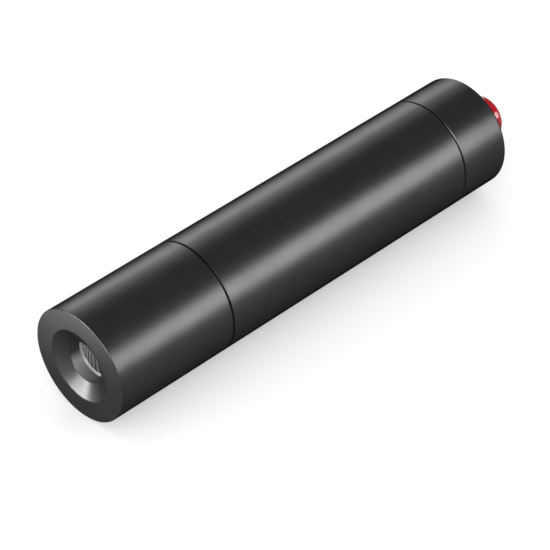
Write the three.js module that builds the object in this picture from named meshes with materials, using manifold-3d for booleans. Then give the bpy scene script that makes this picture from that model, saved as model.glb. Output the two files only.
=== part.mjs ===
// A laser pointer with a red push button at its tail, every piece at its real size in millimetres.
// The barrel lies along Y: the nose face looks towards -Y, the button towards +Y, and +Z is up.
// Places along the barrel are counted from the nose face towards the tail, and the chain of places
// runs through what the barrel holds, so the tube is as long as its cell, springs and switch need.
import * as THREE from 'three';
import { mergeVertices } from 'three/addons/utils/BufferGeometryUtils.js';
import Module from 'manifold-3d';

const wasm = await Module();
wasm.setup();

// Counts of facets round a turned piece
const shellSides = 48;
const innerSides = 32;
const smallSides = 20;
const filletSteps = 4;
const coilSteps = 8;
const wireSides = 5;

// Gaps and fits
const seat = 0.3; // between a piece and the face that it rests on
const solder = 0.1; // between a board and what is soldered to it
const fit = 0.15; // radial room between two turned diameters that screw or slide together
const seam = 0.25; // the dark line between two sections of the barrel
const edgeBreak = 0.12; // chamfer on the barrel's edges beside a seam
const overrun = 1; // how far a cut runs past what it cuts

// Cell: one rechargeable lithium cell, 16.5 mm across and 34 mm long
const cellRadius = 8.25;
const cellLength = 33.2;
const cellEdge = 0.5;
const cellRimWidth = 1.3;
const cellRimDepth = 0.6;
const crimpPlace = 2.6;
const crimpWidth = 0.9;
const crimpDepth = 0.35;
const nubRadius = 2.9;
const nubHeight = 1.1;
const nubEdge = 0.3;
const insulatorThickness = 0.3;

// Barrel walls
const cellRoom = 0.25;
const spigotWall = 1.4;
const skirtWall = 0.95;
const bayRadius = cellRadius + cellRoom;
const spigotRadius = bayRadius + spigotWall;
const socketRadius = spigotRadius + fit;
const barrelRadius = socketRadius + skirtWall;
const spigotChamfer = 0.4;

// Seals round the two spigots
const ringGrooveDepth = 0.8;
const ringGrooveWidth = 1.5;
const ringGroovePlace = 0.5;
const ringRoom = 0.1;
const grooveRadius = spigotRadius - ringGrooveDepth;

// Nose section
const noseLength = 26.2;
const noseFillet = 0.2;
const mouthRadius = 6.95;
const mouthDepth = 1.4;
const throatRadius = 4.03;
const throatDepth = 3.65;
const tapRadius = 3.7; // crests of the inner thread that the lens holder screws along
const throatChamfer = throatRadius - tapRadius;

// Lens holder, its lens and its spring
const focusDepth = 8.15;
const holderLength = 4;
const holderRadius = tapRadius - fit;
const holderLip = 1.1;
const holderAperture = 2.3;
const holderSlotWidth = 1;
const holderSlotDepth = 0.6;
const lensRadius = 2.9;
const lensEdge = 0.9;
const lensCrown = 0.6;
const lensRoom = 0.1;
const lensRingThickness = 0.7;
const lensRingBore = 2.2;
const focusWire = 0.4;
const focusCoilRadius = 3.25;
const focusSpringLength = 5.1;
const focusTurns = 4;

// Laser diode and the brass module that carries it
const moduleRadius = 6;
const moduleLength = 8.6;
const moduleEdge = 0.4;
const diodeRingRadius = 3.5;
const diodeRingBore = 2.1;
const diodeRingThickness = 0.8;
const diodeBaseRadius = 2.8;
const diodeBaseThickness = 1.2;
const diodeCanRadius = 1.8;
const diodeCanHeight = 2.6;
const diodeCanWall = 0.25;
const diodeWindowHole = 0.9;
const diodeWindowThickness = 0.25;
const leadCircle = 1;
const leadRadius = 0.225;
const leadRoom = 0.2;
const leadCount = 3;
const leadSides = 8;
const leadBoreRadius = leadCircle + leadRadius + seat;
const moduleTailBore = 3.6;
const moduleTailDepth = 3;
const moduleRingThickness = 1.4;
const spannerSlotWidth = 1.2;
const spannerSlotDepth = 0.7;

// Driver board, what is soldered to it, and its ring
const boardThickness = 1;
const boardStandoff = 2.6;
const boardRoom = 0.25;
const boardRadius = 8.1;
const boardPocketRadius = boardRadius + boardRoom;
const boardRingThickness = 1.7;
const boardRingWidth = 1.3;
const boardRingRecess = 0.6;
const partCircle = 3.9;
const chipSide = 3;
const chipHeight = 1;
const chipChamfer = 0.4;
const capacitorLength = 3.2;
const capacitorWidth = 1.6;
const capacitorHeight = 1.5;
const inductorSide = 3;
const inductorHeight = 1.4;
const inductorCorner = 0.7;
const trimmerSide = 2.8;
const trimmerHeight = 1.1;
const trimmerDialRadius = 1.1;
const trimmerDialHeight = 0.4;
const trimmerSlotWidth = 0.35;
const trimmerSlotDepth = 0.25;

// Positive contact and its spring
const contactRadius = 3.6;
const contactThickness = 0.5;
const positiveWire = 0.8;
const positiveCoilRadius = 2.7;
const positiveSpringLength = 7.65;
const positiveTurns = 4;

// Tail spring, wide at the switch board and narrow at the cell
const tailWire = 0.8;
const tailSpringNarrow = 3.1;
const tailSpringWide = 6;
const tailSpringLength = 7.5;
const tailTurns = 4;

// Switch
const switchBoardThickness = 1.2;
const carrierRadius = 7;
const carrierWall = 1.1;
const carrierFloor = 0.8;
const carrierFloorBore = 3.4;
const carrierFlangeWidth = 1.5;
const carrierFlangeThickness = 1.3;
const switchSide = 7.4;
const switchHeight = 4;
const switchCorner = 0.6;
const switchPinPlace = 2.4;
const switchPinWidth = 0.8;
const switchPinThickness = 0.4;
const switchRingThickness = 1.5;
const switchRingRecess = 0.45;
const plungerRadius = 1.6;
const plungerDepth = 1.4;
const plungerGrip = 2;
const pressTravel = 1.5;

// Button, its return spring and its seal
const buttonRadius = 4.45;
const buttonReach = 6.95;
const buttonFillet = 1.1;
const buttonFlangeWidth = 1.2;
const buttonFlangeThickness = 1.2;
const buttonHoleChamfer = 0.2;
const returnWire = 0.5;
const returnCoilRadius = 3;
const returnSpringLength = 4;
const returnTurns = 3;
const sealGrooveDepth = 0.9;
const sealGrooveWidth = 1.1;

// Tail cap
const capLength = 11.2;
const capWall = 2;
const capFillet = 0.55;

// Chain of places from the nose face to the tail face
const holderFront = focusDepth;
const holderRear = holderFront + holderLength;
const focusSpringFront = holderRear + seat;
const moduleFront = focusSpringFront + focusSpringLength + seat;
const moduleRear = moduleFront + moduleLength;
const moduleRingFront = moduleRear + seat;
const moduleRingRear = moduleRingFront + moduleRingThickness;
const boardFront = moduleRingRear + boardStandoff;
const boardRear = boardFront + boardThickness;
const boardRingFront = boardRear + seat;
const noseSpigotEnd = boardRingFront + boardRingThickness + boardRingRecess;
const contactFront = boardRear + solder;
const positiveSpringFront = contactFront + contactThickness + seat;
const nubFront = positiveSpringFront + positiveSpringLength + seat;
const cellFront = nubFront + nubHeight;
const cellRear = cellFront + cellLength;
const tailSpringFront = cellRear + seat;
const switchBoardFront = tailSpringFront + tailSpringLength + seat;
const carrierFront = switchBoardFront + switchBoardThickness + seat;
const switchFront = carrierFront + carrierFloor + seat;
const switchRear = switchFront + switchHeight;
const returnSpringFront = switchRear + seat;
const buttonFlangeFront = returnSpringFront + returnSpringLength + seat;
const buttonFlangeRear = buttonFlangeFront + buttonFlangeThickness;
const capWallFront = buttonFlangeRear + seat;
const capRear = capWallFront + capWall;
const capFront = capRear - capLength;
const tubeFront = noseLength + seam;
const tubeRear = capFront - seam;
const carrierRear = capWallFront - seat;
const carrierFlangeFront = carrierRear - carrierFlangeThickness;
const switchRingFront = carrierFlangeFront - seat - switchRingThickness;
const capSocketEnd = switchRingFront - switchRingRecess;
const tubeSpigotEnd = capSocketEnd - seat;
const buttonTip = capRear + buttonReach;
const tubeSocketEnd = noseSpigotEnd + seat;
const modulePocketRadius = moduleRadius + fit;
const boardPocketFront = boardFront - seat;
const modulePocketFront = moduleFront - seat;
const diodeBaseFront = moduleFront + diodeRingThickness + 2 * solder;
const diodeFront = diodeBaseFront - diodeCanHeight;
const leadFront = diodeBaseFront + diodeBaseThickness + solder;
const carrierFlangeRadius = carrierRadius + carrierFlangeWidth;
const capBoreRadius = carrierFlangeRadius + fit;
const buttonHoleRadius = buttonRadius + fit;
const sealGrooveRadius = buttonHoleRadius + sealGrooveDepth;
const sealGrooveFront = capWallFront + (capWall - sealGrooveWidth) / 2;

const finishes = {
  anodised: { color: 0x1c1c1e, roughness: 0.42, metalness: 0.85 },
  brass: { color: 0xb59352, roughness: 0.35, metalness: 1 },
  steel: { color: 0xb8babd, roughness: 0.3, metalness: 1 },
  gilt: { color: 0xc9a24c, roughness: 0.3, metalness: 1 },
  nickel: { color: 0xc4c3bd, roughness: 0.28, metalness: 1 },
  glass: { color: 0xdfe8ee, roughness: 0.05, metalness: 0 },
  board: { color: 0x1f5a37, roughness: 0.5, metalness: 0 },
  epoxy: { color: 0x17181a, roughness: 0.55, metalness: 0 },
  ferrite: { color: 0x3a3b3e, roughness: 0.7, metalness: 0 },
  tantalum: { color: 0xd2a22c, roughness: 0.5, metalness: 0 },
  trimmer: { color: 0x2d5f9e, roughness: 0.5, metalness: 0 },
  wrap: { color: 0x2f4f86, roughness: 0.35, metalness: 0 },
  paper: { color: 0xe8e4d8, roughness: 0.8, metalness: 0 },
  rubber: { color: 0x111112, roughness: 0.75, metalness: 0 },
  nylon: { color: 0x26272a, roughness: 0.55, metalness: 0 },
  acetal: { color: 0xe4e2da, roughness: 0.4, metalness: 0 },
  red: { color: 0xc3121c, roughness: 0.2, metalness: 0 },
};

function node(name, geometry, finish, front = 0) {
  const mesh = new THREE.Mesh(geometry, new THREE.MeshStandardMaterial(finishes[finish]));
  mesh.name = name;
  mesh.position.y = front;
  return mesh;
}

// An outline is a list of [radius, place along Y]. It runs out along the outer wall towards the
// tail and comes back along the inner wall. Half a step of turn puts a facet flat underneath.
function turn(outline, sides) {
  const points = outline.map(([radius, along]) => new THREE.Vector2(radius, along));
  return new THREE.LatheGeometry(points, sides, Math.PI / sides);
}

function turnRing(outline, sides) {
  return turn([...outline, outline[0]], sides);
}

function turnSolid(outline, sides) {
  const first = outline[0][1];
  const last = outline[outline.length - 1][1];
  return turn([[0, first], ...outline, [0, last]], sides);
}

// Points of a quarter or other arc about a centre, angles in quarter turns from +radius to +Y
function arc(centreRadius, centreAlong, radius, fromQuarter, toQuarter, steps = filletSteps) {
  const points = [];
  for (let i = 0; i <= steps; i += 1) {
    const angle = (Math.PI / 2) * (fromQuarter + ((toQuarter - fromQuarter) * i) / steps);
    points.push([centreRadius + radius * Math.cos(angle), centreAlong + radius * Math.sin(angle)]);
  }
  return points;
}

function solidOf(geometry) {
  const bare = geometry.clone();
  bare.deleteAttribute('normal');
  bare.deleteAttribute('uv');
  const merged = mergeVertices(bare);
  const vertProperties = new Float32Array(merged.attributes.position.array);
  const triVerts = new Uint32Array(merged.index.array);
  return new wasm.Manifold(new wasm.Mesh({ numProp: 3, vertProperties, triVerts }));
}

function geometryOf(solid) {
  const { vertProperties, triVerts } = solid.getMesh();
  const geometry = new THREE.BufferGeometry();
  geometry.setAttribute('position', new THREE.BufferAttribute(vertProperties, 3));
  geometry.setIndex(new THREE.BufferAttribute(triVerts, 1));
  const flat = geometry.toNonIndexed();
  flat.computeVertexNormals();
  return flat;
}

function cut(geometry, ...cutters) {
  const cutSolid = cutters.reduce((solid, cutter) => solid.subtract(solidOf(cutter)), solidOf(geometry));
  return geometryOf(cutSolid);
}

function join(geometry, ...others) {
  const joined = others.reduce((solid, other) => solid.add(solidOf(other)), solidOf(geometry));
  return geometryOf(joined);
}

// A bar across the front face of a ring: cutting it leaves two slots for a pin spanner
function spannerBar(outerRadius, width, depth) {
  const bar = new THREE.BoxGeometry(2 * (outerRadius + overrun), depth + overrun, width);
  return bar.translate(0, (depth - overrun) / 2, 0);
}

// A square plate with round corners, lying across Y, from 0 to its height
function roundedPlate(side, corner, height) {
  const half = side / 2;
  const shape = new THREE.Shape();
  shape.absarc(half - corner, half - corner, corner, 0, Math.PI / 2);
  shape.absarc(corner - half, half - corner, corner, Math.PI / 2, Math.PI);
  shape.absarc(corner - half, corner - half, corner, Math.PI, 1.5 * Math.PI);
  shape.absarc(half - corner, corner - half, corner, 1.5 * Math.PI, 2 * Math.PI);
  const plate = new THREE.ExtrudeGeometry(shape, { depth: height, bevelEnabled: false, curveSegments: 3 });
  return plate.rotateX(-Math.PI / 2);
}

// The least distance between points of a wire that lie half a curl or more apart along it
function leastGap(rings) {
  let least = Infinity;
  rings.forEach((ring, i) => {
    rings.slice(i + coilSteps / 2).forEach((other) => {
      ring.forEach((point) => {
        other.forEach((far) => {
          least = Math.min(least, point.distanceTo(far));
        });
      });
    });
  });
  return least;
}

// A coil spring: one unbroken wire from y = 0 to its length, with straight ends along Y
function coilSpring(name, { wire, frontRadius, rearRadius, length, turns }) {
  const steps = turns * coilSteps;
  const stations = [[frontRadius, 0, 0]];
  for (let i = 0; i <= steps; i += 1) {
    const share = i / steps;
    const radius = THREE.MathUtils.lerp(frontRadius, rearRadius, share);
    stations.push([radius, (2 * Math.PI * i) / coilSteps, wire + (length - 2 * wire) * share]);
  }
  stations.push([rearRadius, 2 * Math.PI * turns, length]);
  const outward = stations.map(([, angle]) => new THREE.Vector3(Math.sin(angle), 0, Math.cos(angle)));
  const path = stations.map(([radius, , along], i) => outward[i].clone().multiplyScalar(radius).setY(along));
  const rings = path.map((centre, i) => {
    const before = path[Math.max(i - 1, 0)];
    const after = path[Math.min(i + 1, path.length - 1)];
    const heading = after.clone().sub(before).normalize();
    const side = heading.clone().cross(outward[i]).normalize();
    const front = side.clone().cross(heading);
    return Array.from({ length: wireSides }, (_, k) => {
      const angle = (2 * Math.PI * k) / wireSides;
      const across = front.clone().multiplyScalar(Math.cos(angle)).addScaledVector(side, Math.sin(angle));
      return centre.clone().addScaledVector(across, wire / 2);
    });
  });
  const corner = (ring, k) => ring * wireSides + (k % wireSides);
  const faces = [];
  for (let ring = 0; ring + 1 < rings.length; ring += 1) {
    for (let k = 0; k < wireSides; k += 1) {
      faces.push(corner(ring, k), corner(ring, k + 1), corner(ring + 1, k + 1));
      faces.push(corner(ring, k), corner(ring + 1, k + 1), corner(ring + 1, k));
    }
  }
  for (let k = 1; k + 1 < wireSides; k += 1) {
    faces.push(corner(0, 0), corner(0, k + 1), corner(0, k));
    faces.push(corner(rings.length - 1, 0), corner(rings.length - 1, k), corner(rings.length - 1, k + 1));
  }
  console.log(`${name}: least gap to itself ${leastGap(rings).toFixed(2)} mm`);
  const geometry = new THREE.BufferGeometry().setFromPoints(rings.flat());
  geometry.setIndex(faces);
  geometry.computeVertexNormals();
  return geometry;
}

// The groove and thread end of a spigot, from its shoulder to its end, on the outer wall
function spigotOutline(shoulder, end) {
  const grooveFront = shoulder + ringGroovePlace;
  const grooveRear = grooveFront + ringGrooveWidth;
  return [
    [spigotRadius, shoulder],
    [spigotRadius, grooveFront],
    [grooveRadius, grooveFront],
    [grooveRadius, grooveRear],
    [spigotRadius, grooveRear],
    [spigotRadius, end - spigotChamfer],
    [spigotRadius - spigotChamfer, end],
  ];
}

// Nose section: dished mouth, smooth throat, tapped bore, module pocket, board pocket and spigot
function noseHousing() {
  const outline = [
    [mouthRadius, 0],
    ...arc(barrelRadius - noseFillet, noseFillet, noseFillet, -1, 0),
    [barrelRadius, noseLength - edgeBreak],
    [barrelRadius - edgeBreak, noseLength],
    ...spigotOutline(noseLength, noseSpigotEnd),
    [boardPocketRadius, noseSpigotEnd],
    [boardPocketRadius, boardPocketFront],
    [modulePocketRadius, boardPocketFront],
    [modulePocketRadius, modulePocketFront],
    [tapRadius, modulePocketFront],
    [tapRadius, throatDepth + throatChamfer],
    [throatRadius, throatDepth],
    [throatRadius, mouthDepth],
  ];
  return turnRing(outline, shellSides);
}

// A rubber ring squeezed into a groove, with its long sides bevelled
function sealRing(inner, outer, width, sides) {
  const middle = (inner + outer) / 2;
  const bevel = width / 4;
  const outline = [
    [middle, 0],
    [outer, bevel],
    [outer, width - bevel],
    [middle, width],
    [inner, width - bevel],
    [inner, bevel],
  ];
  return turnRing(outline, sides);
}

// Rubber ring that fills a spigot's groove and closes the joint beside a seam
function spigotSeal() {
  const inner = grooveRadius + ringRoom;
  const outer = socketRadius - ringRoom;
  return sealRing(inner, outer, ringGrooveWidth - 2 * ringRoom, shellSides);
}

// Lens holder: a threaded sleeve with a lip in front of the lens and a spanner slot across its face
function lensHolder() {
  const pocket = lensRadius + lensRoom;
  const outline = [
    [holderAperture + holderLip / 2, 0],
    [holderRadius, 0],
    [holderRadius, holderLength],
    [pocket, holderLength],
    [pocket, holderLip],
    [holderAperture, holderLip],
    [holderAperture, holderLip / 2],
  ];
  return cut(turnRing(outline, innerSides), spannerBar(holderRadius, holderSlotWidth, holderSlotDepth));
}

// Collimating lens: crowned towards the mouth and flat towards the diode
function collimatingLens() {
  const crown = Array.from({ length: filletSteps }, (_, i) => {
    const share = (i + 1) / filletSteps;
    return [lensRadius * share, lensCrown * share * share];
  });
  const outline = [[0, 0], ...crown, [lensRadius, lensCrown + lensEdge], [0, lensCrown + lensEdge]];
  return turn(outline, innerSides);
}

// Ring that holds the lens in from behind, with its bore opened out towards the diode
function lensRing() {
  const outline = [
    [lensRadius, 0],
    [lensRadius, lensRingThickness],
    [lensRingBore + lensRingThickness / 2, lensRingThickness],
    [lensRingBore, lensRingThickness / 2],
    [lensRingBore, 0],
  ];
  return turnRing(outline, innerSides);
}

// Brass module: a stepped bore for the ring, the diode's base and its leads
function diodeModule() {
  const ringPocket = diodeRingThickness + solder;
  const basePocket = ringPocket + diodeBaseThickness + seat;
  const outline = [
    [diodeRingRadius + solder, 0],
    [moduleRadius - moduleEdge, 0],
    [moduleRadius, moduleEdge],
    [moduleRadius, moduleLength - moduleEdge],
    [moduleRadius - moduleEdge, moduleLength],
    [moduleTailBore, moduleLength],
    [moduleTailBore, moduleLength - moduleTailDepth],
    [leadBoreRadius, moduleLength - moduleTailDepth],
    [leadBoreRadius, basePocket],
    [diodeBaseRadius + solder, basePocket],
    [diodeBaseRadius + solder, ringPocket],
    [diodeRingRadius + solder, ringPocket],
  ];
  return turnRing(outline, innerSides);
}

function plainRing(outer, inner, thickness, sides) {
  return turnRing([[outer, 0], [outer, thickness], [inner, thickness], [inner, 0]], sides);
}

// Laser diode: a round base with a thin can in front of it, open at a small window
function laserDiode() {
  const inside = diodeCanRadius - diodeCanWall;
  const outline = [
    [inside, diodeCanHeight],
    [inside, diodeCanWall],
    [diodeWindowHole, diodeCanWall],
    [diodeWindowHole, 0],
    [diodeCanRadius, 0],
    [diodeCanRadius, diodeCanHeight],
    [diodeBaseRadius, diodeCanHeight],
    [diodeBaseRadius, diodeCanHeight + diodeBaseThickness],
  ];
  return turnSolid(outline, smallSides);
}

// The diode's legs stand evenly round the barrel's axis
function leadPlaces() {
  return Array.from({ length: leadCount }, (_, i) => {
    const angle = (2 * Math.PI * i) / leadCount;
    return [leadCircle * Math.sin(angle), leadCircle * Math.cos(angle)];
  });
}

function rod(radius, length, sides) {
  return new THREE.CylinderGeometry(radius, radius, length, sides).translate(0, length / 2, 0);
}

function driverBoard() {
  const disc = rod(boardRadius, boardThickness, shellSides);
  const holes = leadPlaces().map(([x, z]) => {
    const hole = rod(leadRadius + leadRoom, boardThickness + 2 * overrun, leadSides);
    return hole.translate(x, -overrun, z);
  });
  return cut(disc, ...holes);
}

// Small package with its top edges chamfered, standing on the board's front face
function driverChip() {
  const top = chipSide / 2 - chipChamfer;
  const half = chipSide / 2;
  const shape = new THREE.Shape();
  shape.moveTo(-half, 0);
  shape.lineTo(-half, chipHeight - chipChamfer);
  shape.lineTo(-top, chipHeight);
  shape.lineTo(top, chipHeight);
  shape.lineTo(half, chipHeight - chipChamfer);
  shape.lineTo(half, 0);
  const block = new THREE.ExtrudeGeometry(shape, { depth: chipSide, bevelEnabled: false });
  return block.translate(0, 0, -half).rotateX(Math.PI);
}

function capacitor() {
  const block = new THREE.BoxGeometry(capacitorWidth, capacitorHeight, capacitorLength);
  return block.translate(0, -capacitorHeight / 2, 0);
}

function inductor() {
  return roundedPlate(inductorSide, inductorCorner, inductorHeight).translate(0, -inductorHeight, 0);
}

// Trimmer that sets the diode's current: a square body and a slotted dial
function trimmer() {
  const body = new THREE.BoxGeometry(trimmerSide, trimmerHeight, trimmerSide);
  body.translate(0, -trimmerHeight / 2, 0);
  const dial = rod(trimmerDialRadius, trimmerDialHeight + trimmerHeight / 2, smallSides);
  dial.translate(0, -trimmerHeight - trimmerDialHeight, 0);
  const slot = new THREE.BoxGeometry(2 * trimmerDialRadius + overrun, 2 * trimmerSlotDepth, trimmerSlotWidth);
  slot.translate(0, -trimmerHeight - trimmerDialHeight, 0);
  return cut(join(body, dial), slot);
}

// Tube: a socket for the nose's spigot, the cell bay, and a spigot for the tail cap
function bodyTube() {
  const outline = [
    [barrelRadius - edgeBreak, tubeFront],
    [barrelRadius, tubeFront + edgeBreak],
    [barrelRadius, tubeRear - edgeBreak],
    [barrelRadius - edgeBreak, tubeRear],
    ...spigotOutline(tubeRear, tubeSpigotEnd),
    [bayRadius, tubeSpigotEnd],
    [bayRadius, tubeSocketEnd],
    [socketRadius, tubeSocketEnd],
    [socketRadius, tubeFront],
  ].map(([radius, along]) => [radius, along - tubeFront]);
  return turnRing(outline, shellSides);
}

// Cell: a wrapped can with a crimped neck and a rim round its positive end
function cellCan() {
  const rim = cellRadius - cellRimWidth;
  const crimpRadius = cellRadius - crimpDepth;
  const outline = [
    [rim, cellRimDepth],
    [rim, 0],
    ...arc(cellRadius - cellEdge, cellEdge, cellEdge, -1, 0, 2),
    [cellRadius, crimpPlace],
    [crimpRadius, crimpPlace + crimpWidth / 3],
    [crimpRadius, crimpPlace + (crimpWidth * 2) / 3],
    [cellRadius, crimpPlace + crimpWidth],
    ...arc(cellRadius - cellEdge, cellLength - cellEdge, cellEdge, 0, 1, 2),
  ];
  return turnSolid(outline, shellSides);
}

// Positive end: a nub that stands in the can's rim on its own insulating washer
function cellNub() {
  const height = nubHeight + cellRimDepth - solder;
  return turnSolid([[nubRadius - nubEdge, 0], [nubRadius, nubEdge], [nubRadius, height]], innerSides);
}

function cellInsulator() {
  const outer = cellRadius - cellRimWidth - solder;
  return plainRing(outer, nubRadius + solder, insulatorThickness, innerSides);
}

// Switch carrier: a flanged cup that holds the switch and guides the button's flange
function switchCarrier() {
  const length = carrierRear - carrierFront;
  const bore = carrierRadius - carrierWall;
  const outline = [
    [carrierRadius, 0],
    [carrierRadius, length - carrierFlangeThickness],
    [carrierFlangeRadius, length - carrierFlangeThickness],
    [carrierFlangeRadius, length],
    [bore, length],
    [bore, carrierFloor],
    [carrierFloorBore, carrierFloor],
    [carrierFloorBore, 0],
  ];
  return turnRing(outline, innerSides);
}

function switchBody() {
  const shaftRoom = plungerDepth + pressTravel + seat;
  const hole = rod(plungerRadius + fit, shaftRoom + overrun, smallSides);
  hole.translate(0, switchHeight - shaftRoom, 0);
  return cut(roundedPlate(switchSide, switchCorner, switchHeight), hole);
}

function switchPin(side) {
  const length = switchFront - switchBoardFront - switchBoardThickness - 2 * solder;
  const pin = new THREE.BoxGeometry(switchPinThickness, length, switchPinWidth);
  return pin.translate(side * switchPinPlace, length / 2, 0);
}

// Tail cap: a skirt over the tube's spigot, a bore for the switch, and a wall round the button
function tailCap() {
  const sealGrooveRear = sealGrooveFront + sealGrooveWidth;
  const outline = [
    [socketRadius, capFront],
    [barrelRadius - edgeBreak, capFront],
    [barrelRadius, capFront + edgeBreak],
    ...arc(barrelRadius - capFillet, capRear - capFillet, capFillet, 0, 1),
    [buttonHoleRadius + buttonHoleChamfer, capRear],
    [buttonHoleRadius, capRear - buttonHoleChamfer],
    [buttonHoleRadius, sealGrooveRear],
    [sealGrooveRadius, sealGrooveRear],
    [sealGrooveRadius, sealGrooveFront],
    [buttonHoleRadius, sealGrooveFront],
    [buttonHoleRadius, capWallFront],
    [capBoreRadius, capWallFront],
    [capBoreRadius, capSocketEnd],
    [socketRadius, capSocketEnd],
  ].map(([radius, along]) => [radius, along - capFront]);
  return turnRing(outline, shellSides);
}

// Button: a moulded cap with a round shoulder, a flange that keeps it in, and a socket underneath
function button() {
  const length = buttonTip - buttonFlangeFront;
  const flangeRadius = buttonRadius + buttonFlangeWidth;
  const socketTop = plungerGrip + seat;
  const outline = [
    [plungerRadius + fit, socketTop],
    [plungerRadius + fit, 0],
    [flangeRadius, 0],
    [flangeRadius, buttonFlangeThickness],
    [buttonRadius, buttonFlangeThickness],
    ...arc(buttonRadius - buttonFillet, length - buttonFillet, buttonFillet, 0, 1),
  ];
  return turnSolid(outline, innerSides);
}

function slottedRing(outer, inner, thickness, sides) {
  const ring = plainRing(outer, inner, thickness, sides);
  return cut(ring, spannerBar(outer, spannerSlotWidth, spannerSlotDepth));
}

// Where the parts on the driver board stand: each is turned a quarter round the barrel's axis
function onBoard(mesh, quarter) {
  const angle = (Math.PI / 2) * quarter;
  mesh.position.x = partCircle * Math.sin(angle);
  mesh.position.z = partCircle * Math.cos(angle);
  mesh.rotation.y = angle;
  return mesh;
}

function barrelShell() {
  const group = new THREE.Group();
  const grooveFace = ringGroovePlace + ringRoom;
  group.add(node('nose_housing', noseHousing(), 'anodised'));
  group.add(node('nose_seal', spigotSeal(), 'rubber', noseLength + grooveFace));
  group.add(node('body_tube', bodyTube(), 'anodised', tubeFront));
  group.add(node('tail_seal', spigotSeal(), 'rubber', tubeRear + grooveFace));
  return group;
}

function laserModule() {
  const group = new THREE.Group();
  const ring = plainRing(diodeRingRadius, diodeRingBore, diodeRingThickness, innerSides);
  const windowRadius = diodeCanRadius - diodeCanWall - solder;
  const windowFront = diodeFront + diodeCanWall + solder;
  group.add(node('diode_module', diodeModule(), 'brass', moduleFront));
  group.add(node('diode_ring', ring, 'brass', moduleFront));
  group.add(node('laser_diode', laserDiode(), 'gilt', diodeFront));
  group.add(node('diode_window', rod(windowRadius, diodeWindowThickness, smallSides), 'glass', windowFront));
  leadPlaces().forEach(([x, z], i) => {
    const lead = node(`diode_lead_${i + 1}`, rod(leadRadius, boardRear - leadFront, leadSides), 'gilt', leadFront);
    lead.position.x = x;
    lead.position.z = z;
    group.add(lead);
  });
  const clampRing = slottedRing(moduleRadius, moduleTailBore, moduleRingThickness, innerSides);
  group.add(node('module_ring', clampRing, 'brass', moduleRingFront));
  return group;
}

function driver() {
  const group = new THREE.Group();
  const face = boardFront - solder;
  const ringRadius = boardPocketRadius - fit;
  const ring = slottedRing(ringRadius, ringRadius - boardRingWidth, boardRingThickness, innerSides);
  const contact = turnSolid([[contactRadius, 0], [contactRadius, contactThickness]], innerSides);
  const spring = coilSpring('positive_spring', {
    wire: positiveWire,
    frontRadius: positiveCoilRadius,
    rearRadius: positiveCoilRadius,
    length: positiveSpringLength,
    turns: positiveTurns,
  });
  group.add(node('driver_board', driverBoard(), 'board', boardFront));
  group.add(onBoard(node('driver_chip', driverChip(), 'epoxy', face), 1));
  group.add(onBoard(node('filter_capacitor', capacitor(), 'tantalum', face), 3));
  group.add(onBoard(node('choke', inductor(), 'ferrite', face), 0));
  group.add(onBoard(node('current_trimmer', trimmer(), 'trimmer', face), 2));
  group.add(node('board_ring', ring, 'brass', boardRingFront));
  group.add(node('positive_contact', contact, 'brass', contactFront));
  group.add(node('positive_spring', spring, 'nickel', positiveSpringFront));
  return group;
}

function cell() {
  const group = new THREE.Group();
  const rimFloor = cellFront + cellRimDepth;
  group.add(node('cell_can', cellCan(), 'wrap', cellFront));
  group.add(node('cell_washer', cellInsulator(), 'paper', rimFloor - solder - insulatorThickness));
  group.add(node('cell_nub', cellNub(), 'nickel', nubFront));
  return group;
}

// Everything that turns and travels when the lens is focused
function focusing() {
  const group = new THREE.Group();
  const lensFront = holderFront + holderLip;
  const lensRear = lensFront + lensCrown + lensEdge;
  const spring = coilSpring('focus_spring', {
    wire: focusWire,
    frontRadius: focusCoilRadius,
    rearRadius: focusCoilRadius,
    length: focusSpringLength,
    turns: focusTurns,
  });
  group.add(node('lens_holder', lensHolder(), 'nickel', holderFront));
  group.add(node('collimating_lens', collimatingLens(), 'glass', lensFront));
  group.add(node('lens_ring', lensRing(), 'nickel', lensRear + seat));
  group.add(node('focus_spring', spring, 'steel', focusSpringFront));
  return group;
}

// Everything that comes off with the tail cap
function tail() {
  const group = new THREE.Group();
  const sealWidth = sealGrooveWidth - 2 * ringRoom;
  const seal = sealRing(buttonRadius + ringRoom, sealGrooveRadius - ringRoom, sealWidth, innerSides);
  const ring = slottedRing(carrierFlangeRadius, carrierRadius + fit, switchRingThickness, shellSides);
  const pinFront = switchBoardFront + switchBoardThickness + solder;
  const contactSpring = coilSpring('tail_spring', {
    wire: tailWire,
    frontRadius: tailSpringNarrow,
    rearRadius: tailSpringWide,
    length: tailSpringLength,
    turns: tailTurns,
  });
  const returnSpring = coilSpring('return_spring', {
    wire: returnWire,
    frontRadius: returnCoilRadius,
    rearRadius: returnCoilRadius,
    length: returnSpringLength,
    turns: returnTurns,
  });
  group.add(node('tail_cap', tailCap(), 'anodised', capFront));
  group.add(node('button_seal', seal, 'rubber', sealGrooveFront + ringRoom));
  group.add(node('switch_ring', ring, 'brass', switchRingFront));
  group.add(node('switch_carrier', switchCarrier(), 'nylon', carrierFront));
  group.add(node('switch_body', switchBody(), 'epoxy', switchFront));
  group.add(node('switch_board', rod(carrierRadius, switchBoardThickness, innerSides), 'board', switchBoardFront));
  group.add(node('switch_pin_left', switchPin(-1), 'steel', pinFront));
  group.add(node('switch_pin_right', switchPin(1), 'steel', pinFront));
  group.add(node('tail_spring', contactSpring, 'nickel', tailSpringFront));
  group.add(node('return_spring', returnSpring, 'steel', returnSpringFront));
  return group;
}

// Everything that travels with the button
function push() {
  const group = new THREE.Group();
  const plungerFront = switchRear - plungerDepth;
  const plungerLength = buttonFlangeFront + plungerGrip - plungerFront;
  group.add(node('button', button(), 'red', buttonFlangeFront));
  group.add(node('plunger', rod(plungerRadius, plungerLength, smallSides), 'acetal', plungerFront));
  return group;
}

const laserPointer = new THREE.Group();
laserPointer.add(barrelShell(), laserModule(), driver(), cell(), focusing(), tail(), push());

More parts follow.
